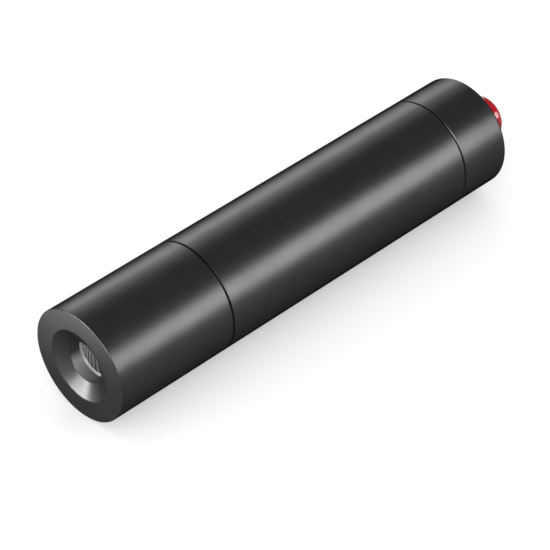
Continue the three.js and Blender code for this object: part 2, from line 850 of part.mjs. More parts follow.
// The part's origin is under the middle of its length, on the surface that the barrel lies on.
laserPointer.position.set(0, -buttonTip / 2, barrelRadius * Math.cos(Math.PI / shellSides));

export default laserPointer;
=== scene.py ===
"""A laser pointer lying on a pale floor: black anodised barrel in three sections, red tail button.

Everything is in metres, in the part's own frame: +Y from the nose to the tail, +Z up.
Turned pieces are spun round the barrel's axis from outlines of (radius, place along Y).
"""
import math

import bmesh
import bpy
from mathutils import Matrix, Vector

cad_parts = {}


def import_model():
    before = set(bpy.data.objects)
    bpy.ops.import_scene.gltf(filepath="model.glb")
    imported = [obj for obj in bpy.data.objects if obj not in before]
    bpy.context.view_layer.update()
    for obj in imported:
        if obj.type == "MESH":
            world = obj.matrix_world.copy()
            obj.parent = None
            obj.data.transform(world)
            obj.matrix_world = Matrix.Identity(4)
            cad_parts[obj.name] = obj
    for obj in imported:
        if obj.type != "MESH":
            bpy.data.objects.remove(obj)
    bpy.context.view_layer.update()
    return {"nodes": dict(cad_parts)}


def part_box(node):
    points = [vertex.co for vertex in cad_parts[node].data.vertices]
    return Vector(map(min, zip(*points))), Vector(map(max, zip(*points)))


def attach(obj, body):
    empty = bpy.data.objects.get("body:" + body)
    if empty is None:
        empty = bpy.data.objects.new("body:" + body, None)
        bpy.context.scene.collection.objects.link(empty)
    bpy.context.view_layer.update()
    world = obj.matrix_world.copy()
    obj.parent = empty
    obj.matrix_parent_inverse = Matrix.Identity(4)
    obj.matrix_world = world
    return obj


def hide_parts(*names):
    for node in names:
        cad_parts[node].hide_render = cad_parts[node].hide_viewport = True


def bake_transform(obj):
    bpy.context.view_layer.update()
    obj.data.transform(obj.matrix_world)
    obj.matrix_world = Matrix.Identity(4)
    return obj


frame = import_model()

MM = 0.001

# How finely pieces are made
SEGMENTS = 192
INNER_SEGMENTS = 96
FLUTE_POINTS = 16
FILLET_STEPS = 8
BEVEL_STEPS = 3
THREAD_STEPS = 8
SEAL_STEPS = 20
COIL_STEPS = 32
COIL_SIDES = 12
SHARP_ANGLE = math.radians(28)
CORNER_ANGLE = math.radians(40)
FLAT_ANGLE = 0.01
SAME_ANGLE = 0.01
ON_AXIS = 1e-9
OUTLINE_GRID = 1e-6

# How many facets the solids' large and small circles have
CAD_SIDES = 48
CAD_SMALL_SIDES = 32

# Places that the frame gives
nose_low, nose_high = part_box("nose_housing")
tube_low, tube_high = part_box("body_tube")
cap_low, cap_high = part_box("tail_cap")
button_low, button_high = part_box("button")
holder_low, holder_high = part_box("lens_holder")
module_low, module_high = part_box("diode_module")
board_low, board_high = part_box("driver_board")
seal_low, seal_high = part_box("button_seal")
switch_ring_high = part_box("switch_ring")[1]


def true_radius(high, sides):
    """Radius of the circle that a node's facets are drawn in, from the high corner of its box."""
    return high.x / math.cos(math.pi / sides)


# Room between pieces
FIT = 0.15 * MM
SEAT = 0.3 * MM

# The barrel's outside
AXIS_Z = (nose_low.z + nose_high.z) / 2
BARREL = true_radius(nose_high, CAD_SIDES)
SEAM = 0.25 * MM
EDGE_BREAK = 0.12 * MM
CAP_BREAK = 0.06 * MM
NOSE_FILLET = 0.2 * MM
CAP_FILLET = 0.55 * MM
nose_face = nose_low.y
tube_front = tube_low.y
nose_shoulder = tube_front - SEAM
cap_front = cap_low.y
tube_rear = cap_front - SEAM
tail_face = cap_high.y

# The mouth: a dish, a throat, flutes and the fine thread that the lens holder runs in
MOUTH = 6.95 * MM
MOUTH_DEPTH = 1.4 * MM
MOUTH_BREAK = 0.08 * MM
THROAT = 4.03 * MM
THROAT_DEPTH = 3.65 * MM
THROAT_BREAK = 0.05 * MM
THROAT_BEND_SHARE = 0.3
CREST = 3.7 * MM
THREAD_DEPTH = 0.3 * MM
LENS_PITCH = 0.5 * MM
FLUTES = 22
FLUTE_SHARE = 0.62
FLUTE_LEAD = 16 * MM
FLUTE_STEP = 0.12 * MM
FLUTE_DEPTH = 0.5 * MM
FLUTE_RUN = 2.3 * MM
BOARD_ROOM = 0.25 * MM
throat_start = nose_face + MOUTH_DEPTH + THROAT_BREAK
throat_end = nose_face + THROAT_DEPTH
pocket_front = module_low.y - SEAT

# Spigots and sockets between the sections
SPIGOT = 9.9 * MM
SOCKET = 10.05 * MM
BAY = 8.5 * MM
SPIGOT_CHAMFER = 0.4 * MM
GROOVE_PLACE = 0.5 * MM
GROOVE_WIDTH = 1.5 * MM
GROOVE_DEPTH = 0.8 * MM
CAP_PITCH = 0.8 * MM
WALL_THREAD = 0.32 * MM
SKIRT_LAND = 2 * MM

# A V thread's flank, as shares of half its pitch
FLANK_START = 0.88
FLANK_RUN = 0.7

# The button and its hole in the cap
BUTTON_FLANGE = 1.2 * MM
BUTTON_FILLET = 1.1 * MM
PLUNGER_BORE = 1.75 * MM
PLUNGER_SOCKET = 2.3 * MM
HOLE_BREAK = 0.2 * MM
SEAL_ROOM = 0.1 * MM
SEAL_GROOVE = 0.9 * MM
button_radius = true_radius(button_high, CAD_SMALL_SIDES) - BUTTON_FLANGE
button_shoulder = button_low.y + BUTTON_FLANGE

# What the barrel holds
INNER_BREAK = 0.06 * MM
SPANNER_WIDTH = 1.2 * MM
SPANNER_DEPTH = 0.7 * MM
SLOT_OVERRUN = 1.5
HOLDER_SLOT_WIDTH = 1 * MM
HOLDER_SLOT_DEPTH = 0.6 * MM
HOLDER_THREAD = 0.25 * MM
LEAD_ROOM = 0.2 * MM
SEAL_SQUEEZE = 0.8

# Springs: wire, front and rear radius of the coil, open turns
COILS = {
    "positive_spring": (0.8 * MM, 2.7 * MM, 2.7 * MM, 4),
    "focus_spring": (0.4 * MM, 3.25 * MM, 3.25 * MM, 4),
    "tail_spring": (0.8 * MM, 3.1 * MM, 6 * MM, 4),
    "return_spring": (0.5 * MM, 3 * MM, 3 * MM, 3),
}
CLOSED_TURNS = 0.75
CLOSED_PITCH = 1.04


# Turned shapes

def arc(radius_centre, along_centre, size, start, stop):
    """Points of an arc, its angles in quarter turns from +radius towards +Y."""
    points = []
    for i in range(FILLET_STEPS + 1):
        angle = math.pi / 2 * (start + (stop - start) * i / FILLET_STEPS)
        radius = radius_centre + size * math.cos(angle)
        points.append((radius, along_centre + size * math.sin(angle)))
    return points


def thread_rows(crest, depth, start, stop, lead, starts=1):
    """Outline points with grooves that wind from start to stop.

    Depth is positive in a bore and negative on a shaft, and runs out to nothing at both ends.
    """
    rise = lead / starts
    step = min(rise / THREAD_STEPS, FLUTE_STEP)
    count = max(2, math.ceil(abs(stop - start) / step))
    rows = []
    for i in range(count + 1):
        along = start + (stop - start) * i / count
        run_out = min(1.0, min(abs(along - start), abs(along - stop)) / (rise / 2))
        rows.append((crest, along, depth * run_out, lead, starts))
    return rows


def groove_wave(turns, starts):
    """A groove's depth as a share, at a place in turns: a V thread, or round flutes with many starts."""
    off_middle = abs(turns * starts % 1.0 - 0.5) * 2
    if starts > 1:
        return math.sqrt(max(0.0, 1.0 - (off_middle / FLUTE_SHARE) ** 2))
    return min(1.0, max(0.0, (FLANK_START - off_middle) / FLANK_RUN))


def turned_row(bm, point, segments, middle):
    """The vertices round the axis at one outline point. On the axis they are one and the same."""
    radius, along = point[:2]
    if radius < ON_AXIS:
        return [bm.verts.new((middle[0], along, middle[1]))] * segments
    row = []
    for k in range(segments):
        here = radius
        if len(point) > 2:
            depth, lead, starts = point[2:]
            here += depth * groove_wave(along / lead - k / segments, starts)
        angle = 2 * math.pi * k / segments
        x = middle[0] + here * math.sin(angle)
        z = middle[1] + here * math.cos(angle)
        row.append(bm.verts.new((x, along, z)))
    return row


def spin(name, outline, closed=True, segments=SEGMENTS, middle=(0.0, AXIS_Z), bevel=0.0):
    """A turned piece. A closed outline is a ring's section, an open one starts and ends on the axis."""
    bm = bmesh.new()
    rows = [turned_row(bm, point, segments, middle) for point in outline]
    pairs = list(zip(rows, rows[1:]))
    if closed:
        pairs.append((rows[-1], rows[0]))
    for first, second in pairs:
        for k in range(segments):
            n = (k + 1) % segments
            corners = list(dict.fromkeys((first[k], first[n], second[n], second[k])))
            if len(corners) > 2:
                bm.faces.new(corners)
    bmesh.ops.recalc_face_normals(bm, faces=bm.faces)
    if bevel:
        break_edges(bm, bevel)
    return finish_mesh(name, bm)


def break_edges(bm, size):
    """Rounds a piece's corners by a small amount, as a tool or a mould leaves them."""
    joined = [edge for edge in bm.edges if len(edge.link_faces) == 2]
    corners = [edge for edge in joined if edge.calc_face_angle() > CORNER_ANGLE]
    bmesh.ops.bevel(
        bm, geom=corners, offset=size, segments=BEVEL_STEPS, profile=0.5,
        affect="EDGES", clamp_overlap=True, offset_type="WIDTH",
    )


def smooth(mesh):
    """Smooth shading that keeps the corners sharp."""
    mesh.shade_smooth()
    mesh.set_sharp_from_angle(angle=SHARP_ANGLE)


def finish_mesh(name, bm):
    mesh = bpy.data.meshes.new(name)
    bm.to_mesh(mesh)
    bm.free()
    smooth(mesh)
    piece = bpy.data.objects.new(name, mesh)
    bpy.context.scene.collection.objects.link(piece)
    return piece


def dress(piece, body, material, node):
    """Gives a piece its finish, its body and the CAD node that it stands for."""
    piece.data.materials.append(material)
    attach(piece, body)
    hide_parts(node)
    return piece


def refinish(piece, material, widest, start, stop):
    """Gives another finish to the faces between two places along the barrel that lie within a radius."""
    piece.data.materials.append(material)
    index = len(piece.data.materials) - 1
    for face in piece.data.polygons:
        middle = face.center
        radius = math.hypot(middle.x, middle.z - AXIS_Z)
        if radius < widest and start < middle.y < stop:
            face.material_index = index


def cut_away(piece, cutter):
    """Takes a cutter's shape out of a piece, and removes the cutter."""
    change = piece.modifiers.new("cut", "BOOLEAN")
    change.operation = "DIFFERENCE"
    change.solver = "EXACT"
    change.object = cutter
    ready = piece.evaluated_get(bpy.context.evaluated_depsgraph_get())
    mesh = bpy.data.meshes.new_from_object(ready)
    piece.modifiers.clear()
    piece.data = mesh
    bpy.data.objects.remove(cutter)
    smooth(mesh)


def cut_slot(piece, front, width, depth, reach):
    """Cuts a slot for a pin spanner straight across a piece's front face."""
    bm = bmesh.new()
    bmesh.ops.create_cube(bm, size=2)
    for vert in bm.verts:
        x = vert.co.x * reach * SLOT_OVERRUN
        vert.co = Vector((x, front + vert.co.y * depth, AXIS_Z + vert.co.z * width / 2))
    cut_away(piece, finish_mesh("cutter", bm))


# Nodes that materials share

NOISE_LOW = 0.3
NOISE_HIGH = 0.7


def shader(name):
    material = bpy.data.materials.new(name)
    material.use_nodes = True
    tree = material.node_tree
    return material, tree, tree.nodes["Principled BSDF"]


def feed(tree, given, socket):
    """Links a node's output to a socket, or sets the socket to a plain value."""
    if isinstance(given, bpy.types.NodeSocket):
        tree.links.new(given, socket)
    else:
        socket.default_value = given


def maths(tree, operation, *given):
    node = tree.nodes.new("ShaderNodeMath")
    node.operation = operation
    for value, socket in zip(given, node.inputs):
        feed(tree, value, socket)
    return node.outputs[0]


def vector_maths(tree, operation, output, *given):
    node = tree.nodes.new("ShaderNodeVectorMath")
    node.operation = operation
    for value, socket in zip(given, node.inputs):
        feed(tree, value, socket)
    return node.outputs[output]


def mapped(tree, value, start, stop, low, high, soft=False):
    """Goes from low to high while the value goes from start to stop, with soft ends or straight."""
    node = tree.nodes.new("ShaderNodeMapRange")
    node.interpolation_type = "SMOOTHSTEP" if soft else "LINEAR"
    feed(tree, value, node.inputs["Value"])
    feed(tree, start, node.inputs["From Min"])
    feed(tree, stop, node.inputs["From Max"])
    feed(tree, low, node.inputs["To Min"])
    feed(tree, high, node.inputs["To Max"])
    return node.outputs["Result"]


def object_place(tree):
    return tree.nodes.new("ShaderNodeTexCoord").outputs["Object"]


def barrel_place(tree):
    """A surface point's place across the barrel's axis, along it and above it."""
    split = tree.nodes.new("ShaderNodeSeparateXYZ")
    tree.links.new(object_place(tree), split.inputs[0])
    height = maths(tree, "SUBTRACT", split.outputs["Z"], AXIS_Z)
    return split.outputs["X"], split.outputs["Y"], height


def pair(tree, first, second):
    """A flat vector of two values."""
    node = tree.nodes.new("ShaderNodeCombineXYZ")
    tree.links.new(first, node.inputs["X"])
    tree.links.new(second, node.inputs["Y"])
    return node.outputs[0]


def turned_place(tree):
    """Texture place that follows the tool: it changes along the axis and with the radius, not round it."""
    across, along, height = barrel_place(tree)
    radius = vector_maths(tree, "LENGTH", "Value", pair(tree, across, height))
    return pair(tree, radius, along)


def noise(tree, place, scale, detail):
    node = tree.nodes.new("ShaderNodeTexNoise")
    node.inputs["Scale"].default_value = scale
    node.inputs["Detail"].default_value = detail
    tree.links.new(place, node.inputs["Vector"])
    return node.outputs["Fac"]


def spread(tree, value, low, high):
    """Maps a noise from its usual range on to low to high."""
    return mapped(tree, value, NOISE_LOW, NOISE_HIGH, low, high)


def shade(tree, share, dark, light):
    """Mixes two colours. In a Mix node for colours they are inputs 6 and 7, and the mix is output 2."""
    node = tree.nodes.new("ShaderNodeMix")
    node.data_type = "RGBA"
    node.inputs[6].default_value = (*dark, 1)
    node.inputs[7].default_value = (*light, 1)
    tree.links.new(share, node.inputs["Factor"])
    return node.outputs[2]


def dimmed(tree, colour, share):
    node = tree.nodes.new("ShaderNodeVectorMath")
    node.operation = "SCALE"
    tree.links.new(colour, node.inputs[0])
    tree.links.new(share, node.inputs["Scale"])
    return node.outputs["Vector"]


def relief(tree, height, strength, distance):
    node = tree.nodes.new("ShaderNodeBump")
    node.inputs["Strength"].default_value = strength
    node.inputs["Distance"].default_value = distance
    tree.links.new(height, node.inputs["Height"])
    return node.outputs["Normal"]


def edge_on(tree, turned_away, low, high):
    """Goes from low to high between two shares of how far a face turns away from the view."""
    weight = tree.nodes.new("ShaderNodeLayerWeight")
    weight.inputs["Blend"].default_value = 0.5
    return mapped(tree, weight.outputs["Facing"], *turned_away, low, high, soft=True)


# Materials

# METAL_RIM and PLASTIC_RIM: where the painted shade along outlines starts and where it is full
METAL_RIM = (0.74, 0.87)
METAL_RINGS = 16000
METAL_CLOUD = 260
METAL_GLOSS_SWING = 0.04
METAL_MARK = 0.05
MARK_DEPTH = 0.01 * MM
PLASTIC_RIM = (0.45, 0.75)
PLASTIC_CLOUD_SHARE = 0.05
PLASTIC_GLOSS = (0.9, 1.1)
PLASTIC_GRAIN_DEPTH = 0.02 * MM
COAT_ROUGHNESS = 0.04
# Angles round the axis where the throat's painted highlight rises and falls
THROAT_HIGHLIGHT_RISE = (math.radians(-172), math.radians(-147))
THROAT_HIGHLIGHT_FALL = (math.radians(-68), math.radians(-143))
THROAT_DARK = (0.055, 0.055, 0.056)
THROAT_PAINTED_HIGHLIGHT = (0.34, 0.34, 0.34)
THROAT_RINGS = 9000
THROAT_ROUGHNESS = (0.34, 0.46)
THROAT_MARK = 0.1
THROAT_METALLIC = 0.4
GLASS_TINT = (0.93, 0.96, 1.0, 1)
GLASS_SMUDGES = 900
GLASS_ROUGHNESS = (0.01, 0.05)
GLASS_IOR = 1.52


def turned_metal(name, dark, light, roughness, tint=1.0, metallic=1.0, rim=1.0):
    """Metal with the fine rings that a lathe leaves. Less metallic adds an anodised skin's dull scatter.

    The rim is the share of its colour that a face seen edge-on keeps: painted shade towards the outline.
    """
    material, tree, bsdf = shader(name)
    rings = noise(tree, turned_place(tree), METAL_RINGS, 2)
    cloud = noise(tree, object_place(tree), METAL_CLOUD, 4)
    colour = shade(tree, spread(tree, cloud, 0, 1), dark, light)
    gloss = spread(tree, rings, roughness - METAL_GLOSS_SWING, roughness + METAL_GLOSS_SWING)
    bsdf.inputs["Specular Tint"].default_value = (tint, tint, tint, 1)
    if rim < 1:
        # Painted shade: colour and gloss darken as the face turns edge-on
        colour = dimmed(tree, colour, edge_on(tree, METAL_RIM, 1, rim))
        tree.links.new(edge_on(tree, METAL_RIM, tint, tint * rim), bsdf.inputs["Specular Tint"])
    tree.links.new(colour, bsdf.inputs["Base Color"])
    tree.links.new(gloss, bsdf.inputs["Roughness"])
    tree.links.new(relief(tree, rings, METAL_MARK, MARK_DEPTH), bsdf.inputs["Normal"])
    bsdf.inputs["Metallic"].default_value = metallic
    bsdf.inputs["Specular IOR Level"].default_value = 0
    return material


def moulded(name, dark, light, roughness, grain, scale, coat=0.0, rim=1.0):
    """Moulded plastic, rubber or epoxy: a faint grain and slight changes of colour and gloss."""
    material, tree, bsdf = shader(name)
    cloud = noise(tree, object_place(tree), scale * PLASTIC_CLOUD_SHARE, 3)
    fine = noise(tree, object_place(tree), scale, 2)
    colour = shade(tree, spread(tree, cloud, 0, 1), dark, light)
    gloss = spread(tree, fine, roughness * PLASTIC_GLOSS[0], roughness * PLASTIC_GLOSS[1])
    # Painted shade: colour darkens as the face turns edge-on
    if rim < 1:
        colour = dimmed(tree, colour, edge_on(tree, PLASTIC_RIM, 1, rim))
    tree.links.new(colour, bsdf.inputs["Base Color"])
    tree.links.new(gloss, bsdf.inputs["Roughness"])
    tree.links.new(relief(tree, fine, grain, PLASTIC_GRAIN_DEPTH), bsdf.inputs["Normal"])
    bsdf.inputs["Coat Weight"].default_value = coat
    bsdf.inputs["Coat Roughness"].default_value = COAT_ROUGHNESS
    return material


def throat_painted_highlight_metal():
    """The throat's dark anodised skin, with a painted highlight on its lower left. Angles go from +X
    towards +Z.
    """
    material, tree, bsdf = shader("throat_painted_highlight")
    across, along, height = barrel_place(tree)
    angle = maths(tree, "ARCTAN2", height, across)
    rise = mapped(tree, angle, *THROAT_HIGHLIGHT_RISE, 0, 1)
    fall = mapped(tree, angle, *THROAT_HIGHLIGHT_FALL, 0, 1)
    # Painted highlight: the throat's colour turns bright between these angles round the axis
    colour = shade(tree, maths(tree, "MULTIPLY", rise, fall), THROAT_DARK, THROAT_PAINTED_HIGHLIGHT)
    rings = noise(tree, turned_place(tree), THROAT_RINGS, 3)
    tree.links.new(colour, bsdf.inputs["Base Color"])
    tree.links.new(spread(tree, rings, *THROAT_ROUGHNESS), bsdf.inputs["Roughness"])
    tree.links.new(relief(tree, rings, THROAT_MARK, MARK_DEPTH), bsdf.inputs["Normal"])
    bsdf.inputs["Metallic"].default_value = THROAT_METALLIC
    bsdf.inputs["Specular IOR Level"].default_value = 0
    return material


def clear_glass():
    """Glass with faint smudges."""
    material, tree, bsdf = shader("lens_glass")
    smudge = noise(tree, object_place(tree), GLASS_SMUDGES, 2)
    tree.links.new(spread(tree, smudge, *GLASS_ROUGHNESS), bsdf.inputs["Roughness"])
    bsdf.inputs["Base Color"].default_value = GLASS_TINT
    bsdf.inputs["Transmission Weight"].default_value = 1
    bsdf.inputs["IOR"].default_value = GLASS_IOR
    return material


# Metals: the two colours that it changes between, and roughness
ANODISED = ((0.067, 0.067, 0.069), (0.075, 0.075, 0.077), 0.33)
# Painted shade in the seams: a darker copy of the anodised colours
SEAM_DARK = ((0.02, 0.02, 0.021), (0.026, 0.026, 0.027), 0.5)
# The barrel keeps a quarter of its colour when seen edge-on: painted shade along its outline
anodised = turned_metal("black_anodised", *ANODISED, tint=0.36, metallic=0.9, rim=0.25)
dish_skin = turned_metal("dish_anodised", *ANODISED, tint=0.42, metallic=0.9)
seam_shade_metal = turned_metal("seam_painted_shade", *SEAM_DARK, tint=0.36, metallic=0.9)
bare_bore = turned_metal("bare_bore", (0.25, 0.25, 0.25), (0.29, 0.29, 0.29), 0.44, metallic=0.35)
throat_painted_highlight = throat_painted_highlight_metal()
brass = turned_metal("turned_brass", (0.6, 0.42, 0.17), (0.68, 0.5, 0.23), 0.3)
steel = turned_metal("spring_steel", (0.55, 0.55, 0.57), (0.66, 0.66, 0.68), 0.28)
nickel = turned_metal("nickel_plate", (0.66, 0.65, 0.61), (0.74, 0.73, 0.7), 0.22)
gilt = turned_metal("gold_plate", (0.74, 0.52, 0.18), (0.82, 0.6, 0.25), 0.24)
glass = clear_glass()

# Plastics and the like: the two colours, roughness, how deep and how fine the grain is, clear coat
board_green = moulded("board_mask", (0.015, 0.12, 0.05), (0.025, 0.16, 0.07), 0.35, 0.1, 8000)
epoxy = moulded("black_epoxy", (0.018, 0.018, 0.02), (0.026, 0.026, 0.028), 0.5, 0.15, 12000)
ferrite = moulded("grey_ferrite", (0.05, 0.05, 0.055), (0.08, 0.08, 0.085), 0.65, 0.2, 9000)
tantalum = moulded("yellow_case", (0.55, 0.32, 0.03), (0.66, 0.4, 0.05), 0.45, 0.1, 9000)
trimmer_blue = moulded("blue_case", (0.03, 0.11, 0.33), (0.05, 0.15, 0.4), 0.45, 0.1, 9000)
cell_wrap = moulded("cell_film", (0.02, 0.07, 0.2), (0.03, 0.09, 0.25), 0.28, 0.05, 1500, 0.4)
washer_fibre = moulded("washer_fibre", (0.7, 0.66, 0.56), (0.8, 0.77, 0.68), 0.8, 0.3, 9000)
rubber = moulded("black_rubber", (0.01, 0.01, 0.011), (0.016, 0.016, 0.017), 0.6, 0.15, 9000)
nylon = moulded("black_nylon", (0.02, 0.02, 0.022), (0.03, 0.03, 0.033), 0.5, 0.1, 6000)
acetal = moulded("white_acetal", (0.72, 0.7, 0.64), (0.8, 0.78, 0.72), 0.4, 0.05, 6000)
BUTTON_REDS = ((0.46, 0.004, 0.012), (0.52, 0.006, 0.016))
# The button keeps 0.4 of its red when seen edge-on: painted shade along its outline
button_red = moulded("red_plastic", *BUTTON_REDS, 0.1, 0.02, 3000, 0.5, rim=0.4)


# The turned barrel

def spigot_rows(shoulder, end):
    """Outer wall of a spigot: plain land, seal groove, thread and end chamfer."""
    front = shoulder + GROOVE_PLACE
    rear = front + GROOVE_WIDTH
    return [
        (SPIGOT, shoulder),
        (SPIGOT, front),
        (SPIGOT - GROOVE_DEPTH, front),
        (SPIGOT - GROOVE_DEPTH, rear),
        (SPIGOT, rear),
        *thread_rows(SPIGOT, -WALL_THREAD, rear + SEAT, end - SPIGOT_CHAMFER, CAP_PITCH),
        (SPIGOT - SPIGOT_CHAMFER, end),
    ]


def paint_seam_shade(piece, start, stop):
    """Painted shade: a seam's chamfers and the spigot in it are darker than the barrel's outside."""
    refinish(piece, seam_shade_metal, BARREL - EDGE_BREAK / 4, start, stop)


def nose_bore():
    """The nose's inner walls from its rear end forward: pockets, thread, flutes, throat and dish."""
    board_pocket = board_high.x + BOARD_ROOM
    board_front = board_low.y - SEAT
    pocket = true_radius(module_high, CAD_SMALL_SIDES) + FIT
    flutes_front = throat_end + (THROAT - CREST)
    flutes_rear = flutes_front + FLUTE_RUN
    dish_end = nose_face + MOUTH_DEPTH
    bend = THROAT_BREAK * THROAT_BEND_SHARE
    return [
        (board_pocket, nose_high.y),
        (board_pocket, board_front),
        (pocket, board_front),
        (pocket, pocket_front),
        *thread_rows(CREST, THREAD_DEPTH, pocket_front - SEAT, flutes_rear + LENS_PITCH / 2, LENS_PITCH),
        *thread_rows(CREST, FLUTE_DEPTH, flutes_rear, flutes_front, FLUTE_LEAD, FLUTES),
        (THROAT, throat_end),
        (THROAT, throat_start),
        (THROAT + bend, dish_end + bend),
        (THROAT + THROAT_BREAK, dish_end - THROAT_BREAK / 2),
        (MOUTH, nose_face + MOUTH_BREAK),
    ]


def nose_piece():
    """The nose section. Its throat keeps a thin skin of the anodising, with a painted highlight on its
    lower left, and the bore behind is bare.
    """
    outline = [
        (MOUTH + MOUTH_BREAK, nose_face),
        *arc(BARREL - NOSE_FILLET, nose_face + NOSE_FILLET, NOSE_FILLET, -1, 0),
        (BARREL, nose_shoulder - EDGE_BREAK),
        (BARREL - EDGE_BREAK, nose_shoulder),
        *spigot_rows(nose_shoulder, nose_high.y),
        *nose_bore(),
    ]
    shell = spin("nose_shell", outline, segments=FLUTES * FLUTE_POINTS)
    piece = dress(shell, "barrel", anodised, "nose_housing")
    bore = CREST + FLUTE_DEPTH + FIT
    paint_seam_shade(piece, nose_shoulder - EDGE_BREAK, nose_shoulder + GROOVE_PLACE)
    refinish(piece, dish_skin, MOUTH, nose_face + MOUTH_BREAK / 2, throat_start)
    refinish(piece, throat_painted_highlight, bore, throat_start, throat_end)
    refinish(piece, bare_bore, bore, throat_end, pocket_front)


def tube_piece():
    """The middle section: a socket in front, the bay for the cell and a spigot for the cap."""
    socket_end = nose_high.y + SEAT
    outline = [
        (BARREL - EDGE_BREAK, tube_front),
        (BARREL, tube_front + EDGE_BREAK),
        (BARREL, tube_rear - EDGE_BREAK),
        (BARREL - EDGE_BREAK, tube_rear),
        *spigot_rows(tube_rear, tube_high.y),
        (BAY, tube_high.y),
        (BAY, socket_end),
        (SOCKET, socket_end),
        (SOCKET, tube_front),
    ]
    piece = dress(spin("tube_shell", outline), "barrel", anodised, "body_tube")
    paint_seam_shade(piece, tube_front - SEAM, tube_front + EDGE_BREAK)
    paint_seam_shade(piece, tube_rear - EDGE_BREAK, tube_rear + GROOVE_PLACE)


def cap_piece():
    """The tail section: a threaded skirt, a bore for the switch and a hole for the button with its seal."""
    hole = button_radius + FIT
    bore = true_radius(switch_ring_high, CAD_SIDES) + FIT
    wall_front = button_shoulder + SEAT
    groove = hole + SEAL_GROOVE
    groove_front = seal_low.y - SEAL_ROOM
    groove_rear = seal_high.y + SEAL_ROOM
    socket_end = tube_high.y + SEAT
    outline = [
        (SOCKET, cap_front),
        (BARREL - CAP_BREAK, cap_front),
        (BARREL, cap_front + CAP_BREAK),
        *arc(BARREL - CAP_FILLET, tail_face - CAP_FILLET, CAP_FILLET, 0, 1),
        (hole + HOLE_BREAK, tail_face),
        (hole, tail_face - HOLE_BREAK),
        (hole, groove_rear),
        (groove, groove_rear),
        (groove, groove_front),
        (hole, groove_front),
        (hole, wall_front),
        (bore, wall_front),
        (bore, socket_end),
        *thread_rows(SOCKET, WALL_THREAD, socket_end - SEAT, cap_front + SKIRT_LAND, CAP_PITCH),
    ]
    dress(spin("cap_shell", outline), "tail", anodised, "tail_cap")


def button_piece():
    """The push button: a flange that holds it in, a round shoulder and a socket for the plunger."""
    tip = button_high.y
    outline = [
        (0, button_low.y + PLUNGER_SOCKET),
        (PLUNGER_BORE, button_low.y + PLUNGER_SOCKET),
        (PLUNGER_BORE, button_low.y),
        (button_radius + BUTTON_FLANGE, button_low.y),
        (button_radius + BUTTON_FLANGE, button_shoulder),
        (button_radius, button_shoulder),
        *arc(button_radius - BUTTON_FILLET, tip - BUTTON_FILLET, BUTTON_FILLET, 0, 1),
        (0, tip),
    ]
    cap = spin("button_cap", outline, closed=False)
    dress(cap, "push_button", button_red, "button")


# What the barrel holds: turned pieces are spun finely from the outline of their own node

def middle_of(node):
    low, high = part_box(node)
    return (low.x + high.x) / 2, (low.z + high.z) / 2


def wall_point(place, middle):
    """A vertex as (radius, along), counted in steps of the grid, and its angle round the node's axis."""
    across, up = place.x - middle[0], place.z - middle[1]
    radius = round(math.hypot(across, up) / OUTLINE_GRID)
    return radius, round(place.y / OUTLINE_GRID), math.atan2(across, up)


def wall_links(node):
    """Joins of outline points, as (radius, along), that most of a turned node's facets share."""
    mesh = frame["nodes"][node].data
    middle = middle_of(node)
    counts = {}
    for edge in mesh.edges:
        ends = [wall_point(mesh.vertices[index].co, middle) for index in edge.vertices]
        first, second = sorted(ends)
        turned = abs(math.remainder(first[2] - second[2], 2 * math.pi)) > SAME_ANGLE
        if first[:2] == second[:2] or (turned and first[0] > 1):
            continue
        link = (first[:2], second[:2])
        counts[link] = counts.get(link, 0) + 1
    most = max(counts.values())
    return [link for link, count in counts.items() if count > most / 2]


def close_flat_ends(near):
    """Joins flat faces' loose points in pairs, an odd one to the axis. Returns the points on the axis."""
    ends = [point for point in near if point[0] <= 1]
    loose = {}
    for point, others in near.items():
        if len(others) == 1 and point[0] > 1:
            loose.setdefault(point[1], []).append(point)
    for along, points in loose.items():
        points.sort()
        if len(points) % 2:
            centre = (0, along)
            near[centre] = [points[0]]
            near[points.pop(0)].append(centre)
            ends.append(centre)
        for inner, outer in zip(points[::2], points[1::2]):
            near[inner].append(outer)
            near[outer].append(inner)
    return ends


def node_outline(node):
    """The outline that a turned node was spun from. Returns it with whether it is closed."""
    near = {}
    for first, second in wall_links(node):
        near.setdefault(first, []).append(second)
        near.setdefault(second, []).append(first)
    ends = close_flat_ends(near)
    walk = [min(ends) if ends else min(near)]
    while True:
        onward = [point for point in near[walk[-1]] if point not in walk]
        if not onward:
            break
        walk.append(onward[0])
    return [(radius * OUTLINE_GRID, along * OUTLINE_GRID) for radius, along in walk], not ends


def fine_copy(node, body, material, slot):
    """A turned node made again with more segments and rounded corners."""
    outline, closed = node_outline(node)
    outline = [(radius if radius > 2 * OUTLINE_GRID else 0.0, along) for radius, along in outline]
    piece = spin("fine_" + node, outline, closed, INNER_SEGMENTS, middle_of(node), INNER_BREAK)
    return dress(piece, body, material, node)


def soft_copy(node, body, material, slot):
    """The node's own shape with its corners rounded."""
    bm = bmesh.new()
    bm.from_mesh(frame["nodes"][node].data)
    bmesh.ops.remove_doubles(bm, verts=bm.verts, dist=OUTLINE_GRID)
    bmesh.ops.dissolve_limit(bm, angle_limit=FLAT_ANGLE, verts=bm.verts, edges=bm.edges)
    break_edges(bm, INNER_BREAK)
    dress(finish_mesh("fine_" + node, bm), body, material, node)


def slotted_ring(node, body, material, slot):
    """A threaded ring with a slot across its front for a spanner."""
    piece = fine_copy(node, body, material, slot)
    low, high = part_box(node)
    cut_slot(piece, low.y, SPANNER_WIDTH, SPANNER_DEPTH, high.x)


